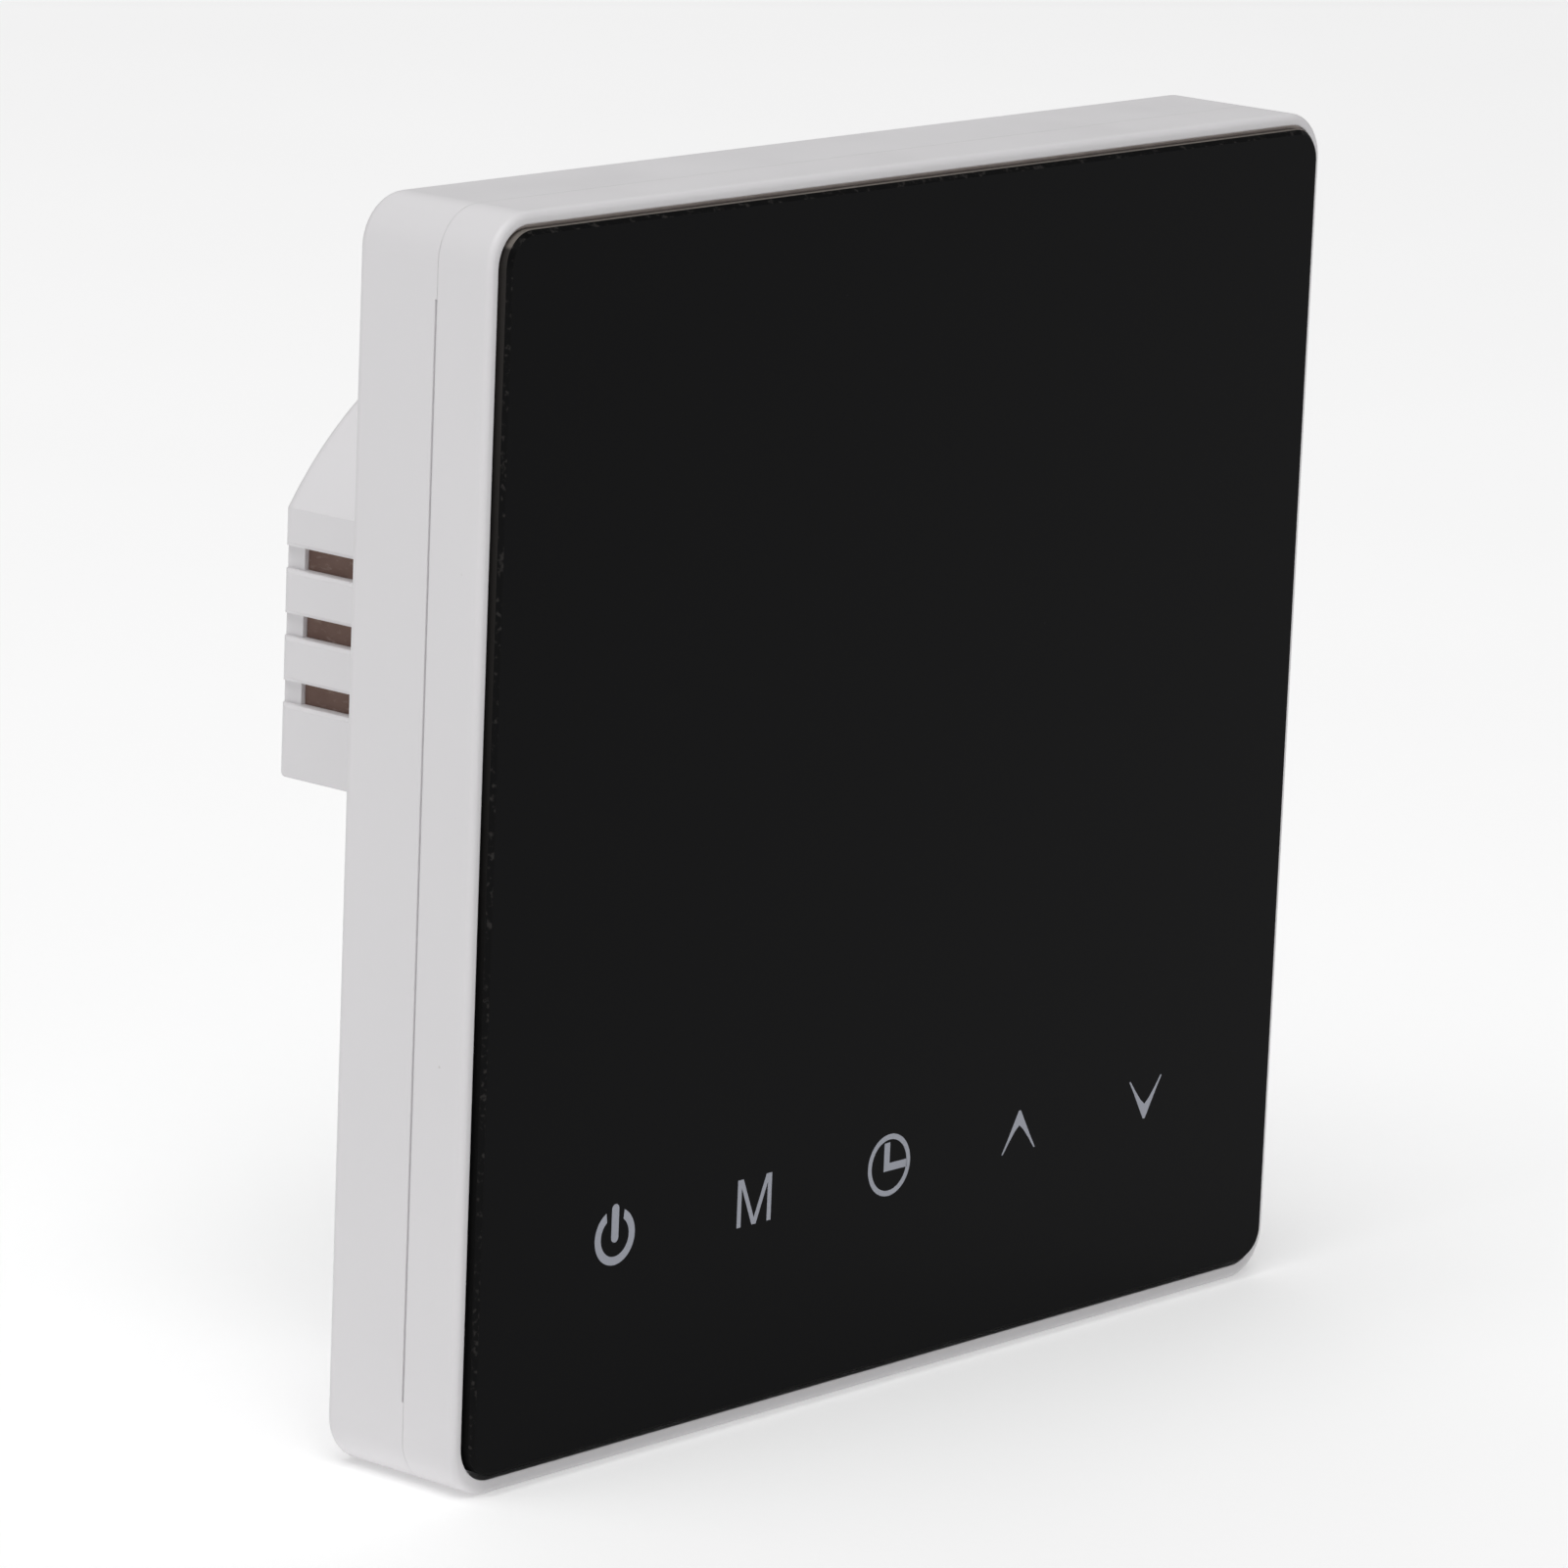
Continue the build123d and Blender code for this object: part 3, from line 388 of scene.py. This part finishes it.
def capacitor_can():
    """Shrink sleeve over an aluminium can: bare metal on the end face, a pale stripe down one side."""
    look = Look("capacitor_can", coat_weight=0.2, coat_roughness=0.2)
    end = look.ramp(look.axis("Y", look.normal), 0.8, 0.86)
    stripe = look.ramp(look.axis("X", look.normal), 0.9, 0.91)
    fine = look.noise(2600, 3.0)
    sleeve = look.mix(fine, (0.012, 0.014, 0.03), (0.022, 0.025, 0.045))
    sleeve = look.mix(stripe, sleeve, (0.5, 0.5, 0.52))
    bare = look.mix(look.noise(900, 4.0), (0.66, 0.66, 0.65), (0.82, 0.82, 0.81))
    look.feed("Base Color", look.mix(end, sleeve, bare))
    look.feed("Metallic", end)
    look.feed("Roughness", look.ramp(fine, 0.3, 0.7, 0.28, 0.4))
    look.feed("Normal", look.bump(fine, 0.006 * MM))
    return look


def display_glass():
    """Dark negative display: polariser film with a faint cell pattern under it."""
    look = Look("display_glass", coat_weight=0.6, coat_roughness=0.03)
    dots = look.ramp(look.cells(1600, distance="CHEBYCHEV"), 0.2, 0.4)
    look.feed("Base Color", look.mix(dots, (0.018, 0.02, 0.026), (0.028, 0.031, 0.038)))
    look.feed("Roughness", look.ramp(look.noise(300, 3.0), 0.3, 0.7, 0.08, 0.16))
    look.feed("Normal", look.bump(look.noise(3000, 2.0), 0.002 * MM))
    return look


def banded_resistor():
    """Lacquered resistor body with four colour bands round it, and bare leads at its ends."""
    look = Look("banded_resistor", coat_weight=0.4, coat_roughness=0.15)
    low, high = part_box("fuse_resistor")
    middle = (low.x + high.x) / 2
    along = look.math("SUBTRACT", look.axis("X"), middle)
    colour = look.mix(look.noise(1500, 3.0), (0.2, 0.33, 0.27), (0.27, 0.42, 0.35))
    brown, dark, gold = (0.24, 0.1, 0.02), (0.012, 0.012, 0.012), (0.55, 0.36, 0.08)
    for offset, band in ((-2.4, brown), (-1.0, dark), (0.4, dark), (2.2, gold)):
        away = look.math("ABSOLUTE", look.math("SUBTRACT", along, offset * MM))
        colour = look.mix(look.ramp(away, 0.36 * MM, 0.4 * MM, 1.0, 0.0), colour, band)
    lead = look.ramp(look.math("ABSOLUTE", along), 4.5 * MM, 4.55 * MM)
    look.feed("Base Color", look.mix(lead, colour, (0.7, 0.69, 0.66)))
    look.feed("Metallic", lead)
    look.feed("Roughness", look.ramp(look.noise(2400, 2.0), 0.3, 0.7, 0.22, 0.34))
    look.feed("Normal", look.bump(look.noise(2400, 2.0), 0.012 * MM))
    return look


def floor_paper():
    """Pale paper sweep with a slight glow, so that it stays near white in the distance."""
    look = Look("floor_paper", specular_ior_level=0.1)
    tone = look.mix(look.noise(14, 3.0), (0.9, 0.9, 0.9), (0.92, 0.92, 0.92))
    look.feed("Base Color", tone)
    look.feed("Emission Color", tone)
    look.feed("Emission Strength", FLOOR_GLOW)
    look.feed("Roughness", 0.8)
    look.feed("Normal", look.bump(look.noise(900, 3.0), 0.02 * MM))
    return look


def dress_nodes():
    """Gives every CAD node its material, and hands back the tinned metal for the solder."""
    tinned = metal("tinned_metal", (0.70, 0.69, 0.67), 0.32)
    zinc = metal("zinc_steel", (0.60, 0.61, 0.62), 0.3, stretch=(1, 6, 1))
    black = moulded("black_moulding", (0.022, 0.022, 0.024), 0.42, 0.12, 0.006, 0.2)
    chip = moulded("chip_epoxy", (0.016, 0.016, 0.017), 0.5, 0.07, 0.008, 0.25)
    looks = {
        "rear_cover": white_plastic(),
        "rating_label": blank_label(),
        "vent_liners": pressboard(),
        "board_partition": moulded("partition_plastic", (0.018, 0.018, 0.02), 0.5, 0.3, 0.008, 0.2),
        "power_board": circuit_board(),
        "power_board_screws": zinc,
        "power_relay": moulded("relay_case", (0.012, 0.055, 0.24), 0.3, 0.35, 0.008, 0.12),
        "transformer_core": moulded("ferrite", (0.035, 0.034, 0.036), 0.55, 0.18, 0.02, 0.3, metallic=0.35),
        "transformer_bobbin": black,
        "transformer_winding": taped_winding(),
        "film_capacitor": moulded("capacitor_case", (0.62, 0.42, 0.035), 0.33, 0.4, 0.01, 0.08),
        "electrolytic_capacitors": capacitor_can(),
        "surge_varistor": moulded("varistor_coating", (0.02, 0.085, 0.3), 0.28, 0.8, 0.03, 0.15,
                                  coat_weight=0.5),
        "fuse_resistor": banded_resistor(),
        "bridge_rectifier": chip,
        "switching_chip": chip,
        "header_socket": black,
        "terminal_block": moulded("terminal_plastic", (0.012, 0.19, 0.06), 0.4, 0.25, 0.008, 0.12),
        "terminal_contacts": tinned,
        "glass_panel": black_glass(),
        "glass_adhesive": moulded("foam_tape", (0.02, 0.02, 0.021), 0.85, 0.14, 0.05, 0.3),
        "glass_bead": bead_with_painted_light(),
        "lcd_cell": display_glass(),
        "lcd_backlight": moulded("light_guide", (0.78, 0.8, 0.82), 0.2, 0.5, 0.004, 0.03, coat_weight=0.3),
        "lcd_holder": black,
        "control_board_screws": zinc,
        "touch_springs": metal("spring_wire", (0.78, 0.70, 0.55), 0.26, stretch=(1, 8, 1)),
        "key_leds": moulded("led_resin", (0.8, 0.77, 0.5), 0.22, 0.2, 0.004, 0.06),
        "controller_chip": chip,
        "display_driver_chip": chip,
        "backup_cell": metal("cell_steel", (0.72, 0.72, 0.71), 0.28, stretch=(8, 1, 1)),
        "buzzer": black,
        "room_sensor": moulded("sensor_resin", (0.03, 0.03, 0.034), 0.25, 0.5, 0.02, 0.2, coat_weight=0.4),
        "pin_header": black,
    }
    looks["front_frame"] = looks["rear_cover"]
    looks["control_board"] = looks["power_board"]
    screw = metal("screw_plating", (0.66, 0.66, 0.65), 0.28, stretch=(1, 9, 1))
    cage = metal("cage_nickel", (0.66, 0.62, 0.52), 0.34)
    for name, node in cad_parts.items():
        look = looks.get(name) or (screw if name.startswith("terminal_screw") else cage)
        node.material_slots[0].material = look.material
    return tinned


# ---------------------------------------------------------------- mesh helpers
def new_piece(name, body, mesh, *looks, slot=None):
    """Turns a bmesh into an object that moves with a CAD body.

    slot names the record's material slot; it is not used.
    """
    data = bpy.data.meshes.new(name)
    bmesh.ops.recalc_face_normals(mesh, faces=mesh.faces)
    mesh.to_mesh(data)
    mesh.free()
    for look in looks:
        data.materials.append(look.material)
    piece = bpy.data.objects.new(name, data)
    bpy.context.scene.collection.objects.link(piece)
    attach(piece, body)


def add_block(mesh, low, high, bevel, finish):
    """Box between two corners, with rounded edges."""
    low, high = Vector(low), Vector(high)
    size = Matrix.Diagonal((*(high - low), 1.0))
    made = bmesh.ops.create_cube(mesh, size=1.0, matrix=Matrix.Translation((low + high) / 2) @ size)
    edges = list({edge for vertex in made["verts"] for edge in vertex.link_edges})
    for face in {face for edge in edges for face in edge.link_faces}:
        face.material_index = finish
    bmesh.ops.bevel(mesh, geom=edges, offset=bevel, segments=2, profile=0.6, affect="EDGES", material=-1)


def add_turned(mesh, x, y, z, direction, profile):
    """Solid of revolution about Y, from (radius, height) points that end on the axis."""
    rings = []
    for radius, height in profile[:-1]:
        ring = []
        for i in range(TURNED_SIDES):
            angle = 2 * math.pi * i / TURNED_SIDES
            place = (x + radius * math.cos(angle), y + direction * height, z + radius * math.sin(angle))
            ring.append(mesh.verts.new(place))
        rings.append(ring)
    tip = mesh.verts.new((x, y + direction * profile[-1][1], z))
    for lower, painted_shade_height in zip(rings, rings[1:]):
        for i in range(TURNED_SIDES):
            j = (i + 1) % TURNED_SIDES
            mesh.faces.new((lower[i], lower[j], painted_shade_height[j], painted_shade_height[i])).smooth = True
    for i in range(TURNED_SIDES):
        mesh.faces.new((rings[-1][i], rings[-1][(i + 1) % TURNED_SIDES], tip)).smooth = True
    mesh.faces.new(rings[0])


def add_print(mesh, outline, x, z):
    """Flat ink shape on the glass, from its outline in mm about a point."""
    front_y = GLASS_Y - INK_THICKNESS
    front = [mesh.verts.new((x + px * MM, front_y, z + pz * MM)) for px, pz in outline]
    back = [mesh.verts.new((x + px * MM, GLASS_Y, z + pz * MM)) for px, pz in outline]
    mesh.faces.new(front)
    for i in range(len(outline)):
        j = (i + 1) % len(outline)
        mesh.faces.new((front[i], front[j], back[j], back[i]))


# ---------------------------------------------------------------- printed symbols
def arc(radius, start, end, steps):
    """Points on a circle, with angles in degrees clockwise from the top."""
    angles = [math.radians(start + (end - start) * i / steps) for i in range(steps + 1)]
    return [(radius * math.sin(a), radius * math.cos(a)) for a in angles]


def moved(points, dz):
    return [(x, z + dz) for x, z in points]


def power_symbol():
    """Open ring with an upright bar in the gap. Symbols are outlines in mm about their key's centre."""
    ring = arc(1.97, 27, 333, 72) + arc(1.38, 324, 36, 64)
    bar_top, bar_foot, bar_half = 1.92, -0.05, 0.35
    bar = moved(arc(bar_half, -90, 90, 12), bar_top) + moved(arc(bar_half, 90, 270, 12), bar_foot)
    return [ring, bar]


def mode_symbol():
    """Letter M, the usual mark of a mode key."""
    half, top, stroke, slant, notch, foot = 1.73, 1.68, 0.4, 0.55, 0.57, 0.21
    valley = -top + 0.47
    letter = [(-half, -top), (-half, top), (-half + slant, top), (0, valley), (half - slant, top),
              (half, top), (half, -top), (half - stroke, -top), (half - stroke, top - notch),
              (foot, -top), (-foot, -top), (-half + stroke, top - notch), (-half + stroke, -top)]
    return [letter]


def clock_symbol():
    """Ring in two halves, with hands at twelve and three."""
    halves = [arc(2.22, side, side + 180, 48) + arc(1.84, side + 180, side, 44) for side in (0, 180)]
    left, inner, foot, palm = -0.55, 0.03, -0.42, 0.14
    hands = [(left, foot), (left, 1.6), (inner, 1.64), (inner, palm), (1.88, palm), (1.86, foot)]
    return halves + [hands]


def chevron_symbol(up):
    """Arrowhead whose arms thin out towards their ends."""
    right = [(0.1, 1.5), (0.68, 0.48), (1.25, -0.52), (1.82, -1.45), (1.7, -1.48), (1.05, -0.64),
             (0.45, 0.06)]
    left = [(-x, z) for x, z in reversed(right)]
    outline = right + [(0.0, 0.42)] + left
    return [[(x, z if up else -z) for x, z in outline]]


def print_symbols(ink):
    symbols = {"power": power_symbol(), "mode": mode_symbol(), "clock": clock_symbol(),
               "up": chevron_symbol(True), "down": chevron_symbol(False)}
    for i, (name, outlines) in enumerate(symbols.items()):
        mesh = bmesh.new()
        for outline in outlines:
            add_print(mesh, outline, KEY_CENTRE_X + KEY_PITCH * (i - 2), KEY_Z)
        new_piece(f"{name}_symbol", "front_unit", mesh, ink)


# ---------------------------------------------------------------- solder and small parts
def add_solder(mesh, x, z, y, direction, size=1.0):
    """Solder joint on a board. x and z are in mm."""
    profile = [(r * size * MM, h * size * MM) for r, h in SOLDER_PROFILE]
    add_turned(mesh, x * MM, y, z * MM, direction, profile)


def solder_power_board(tinned):
    """Joints on the room side of the power board, where the legs of the tall parts come through."""
    legs = [(11.3, z) for z in (1.0, 9.0, 16.8)] + [(-5.0, 22.3), (5.0, 22.3), (-12.2, -3.3), (-7.8, -3.3)]
    legs += [(side * 5.6 - 12.8, 9.0 + dz) for side in (-1, 1) for dz in (-4.0, 0.0, 4.0)]
    legs += [(-1.4 + side * 1.2, z) for side in (-1, 1) for z in (4.2, 12.6)] + [(-3.4, -3.4), (7.4, -3.4)]
    mesh = bmesh.new()
    for x, z in legs:
        add_solder(mesh, x, z, POWER_ROOM_Y, -1)
    for i in range(TERMINAL_COUNT):
        x = TERMINAL_PITCH * (i - (TERMINAL_COUNT - 1) / 2)
        add_solder(mesh, x, -7.8, POWER_ROOM_Y, -1, 1.25)
    new_piece("power_board_solder", "rear_unit", mesh, tinned, slot="tinned_brass")


def solder_control_board(tinned):
    """Joints of the display's pins, in a row under the display, and of the light bar."""
    mesh = bmesh.new()
    for i in range(LCD_PIN_COUNT):
        add_solder(mesh, -26.0 + LCD_PIN_PITCH * i, -21.6, CONTROL_WALL_Y, 1, 0.7)
    for z in (-8.0, 18.0):
        add_solder(mesh, -31.0, z, CONTROL_WALL_Y, 1, 0.8)
    new_piece("control_board_solder", "front_unit", mesh, tinned, slot="tinned_brass")


def free_places(rng, area, blocked, count, clearance):
    """Random places in an X-Z area that keep clear of blocked boxes and of each other, in mm."""
    places = []
    (x_low, x_high), (z_low, z_high) = area
    for _ in range(count * 30):
        x, z = rng.uniform(x_low, x_high), rng.uniform(z_low, z_high)
        x, z = round(x / LAYOUT_GRID) * LAYOUT_GRID, round(z / LAYOUT_GRID) * LAYOUT_GRID
        apart = all(max(abs(x - px), abs(z - pz)) > clearance for px, pz in places)
        if apart and not any(a < x < b and c < z < d for a, b, c, d in blocked):
            places.append((x, z))
        if len(places) == count:
            break
    return places


def node_area(name, margin):
    """X-Z limits of a node in mm, with a margin."""
    low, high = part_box(name)
    return low.x / MM - margin, high.x / MM + margin, low.z / MM - margin, high.z / MM + margin


def around(x, z, margin):
    """X-Z limits of a square about a point, in mm."""
    return x - margin, x + margin, z - margin, z + margin


def add_small_part(mesh, x, z, y, direction, upright, length, width, height):
    """Chip resistor or capacitor: a body between two solder caps, flat on the board."""
    along, across = (0, 2) if not upright else (2, 0)
    centre = (x * MM, y, z * MM)

    def block(start, end, half_width, top, finish):
        low, high = list(centre), list(centre)
        low[along], high[along] = centre[along] + start * MM, centre[along] + end * MM
        low[across], high[across] = centre[across] - half_width * MM, centre[across] + half_width * MM
        low[1], high[1] = sorted((y, y + direction * top * MM))
        add_block(mesh, low, high, 0.04 * MM, finish)

    half, cap = length / 2, length * 0.2
    block(-half + cap * 0.8, half - cap * 0.8, width / 2 - 0.01, height - 0.02, 0)
    block(-half, -half + cap, width / 2, height, 1)
    block(half - cap, half, width / 2, height, 1)


def small_parts(name, body, places, y, direction, rng, look, tinned, size):
    """One piece with a chip part at each place, turned one way or the other at random."""
    mesh = bmesh.new()
    for x, z in places:
        add_small_part(mesh, x, z, y, direction, rng.random() < 0.5, *size)
    new_piece(name, body, mesh, look, tinned)


def populate_boards(tinned):
    """Chip resistors and capacitors where the boards are free of taller parts, posts and solder."""
    rng = random.Random(7)
    resistor = moulded("resistor_chip", (0.02, 0.02, 0.022), 0.4, 0.1, 0.004, 0.2)
    ceramic = moulded("ceramic_chip", (0.36, 0.24, 0.13), 0.45, 0.1, 0.006, 0.15)
    tall = ("controller_chip", "display_driver_chip", "buzzer", "room_sensor", "pin_header", "backup_cell")
    blocked = [node_area(name, 1.6) for name in tall]
    blocked += [around(sx * 34.6, sz * 34.6, 4.5) for sx in (-1, 1) for sz in (-1, 1)]
    blocked += [around(sx * 31.9, 5 + sz * 23.9, 2.5) for sx in (-1, 1) for sz in (-1, 1)]
    blocked += [(-29, 28, -23.2, -20.0), around(-31, -8, 2), around(-31, 18, 2)]
    places = free_places(rng, ((-35, 35), (-34, 34)), blocked, 84, 2.5)
    small_parts("control_resistors", "front_unit", places[:48], CONTROL_WALL_Y, 1, rng,
                resistor, tinned, CONTROL_RESISTOR)
    small_parts("control_ceramics", "front_unit", places[48:], CONTROL_WALL_Y, 1, rng,
                ceramic, tinned, CONTROL_CERAMIC)
    blocked = [node_area(name, 1.6) for name in ("switching_chip", "header_socket")]
    blocked += [around(x, z, 3.2) for x, z in ((-13.2, 21.0), (13.2, 21.0), (-19.4, -3.4), (19.4, -3.4))]
    blocked += [around(x, z, 3.2) for x, z in ((-17.5, 8.0), (17.5, 8.0), (-16.0, -13.5), (16.0, -13.5))]
    blocked += [(-20, 20, -9.6, -6.0), (9.4, 13.2, -1, 19), (-20, -5.6, 3, 15), (-6.8, 6.8, 20.4, 24.2)]
    blocked += [(-4.4, 1.6, 2.4, 14.4), (-14, 9.4, -5.2, -1.6)]
    places = free_places(rng, ((-20, 20), (-15, 18)), blocked, 26, 2.6)
    small_parts("power_resistors", "rear_unit", places[:16], POWER_ROOM_Y, -1, rng,
                resistor, tinned, POWER_RESISTOR)
    small_parts("power_ceramics", "rear_unit", places[16:], POWER_ROOM_Y, -1, rng,
                ceramic, tinned, POWER_CERAMIC)


# ---------------------------------------------------------------- scene
def main():
    add_camera()
    add_world(WORLD_BRIGHTNESS)
    add_softbox("key_light", *KEY_LIGHT)
    add_softbox("fill_light", *FILL_LIGHT)
    add_floor(floor_paper().material)
    tinned = dress_nodes()
    ink = moulded("key_ink", (0.365, 0.38, 0.435), 0.5, 0.08, 0.003, 0.04)
    print_symbols(ink)
    solder_power_board(tinned)
    solder_control_board(tinned)
    populate_boards(tinned)
    bpy.context.scene.view_settings.view_transform = "Standard"


main()
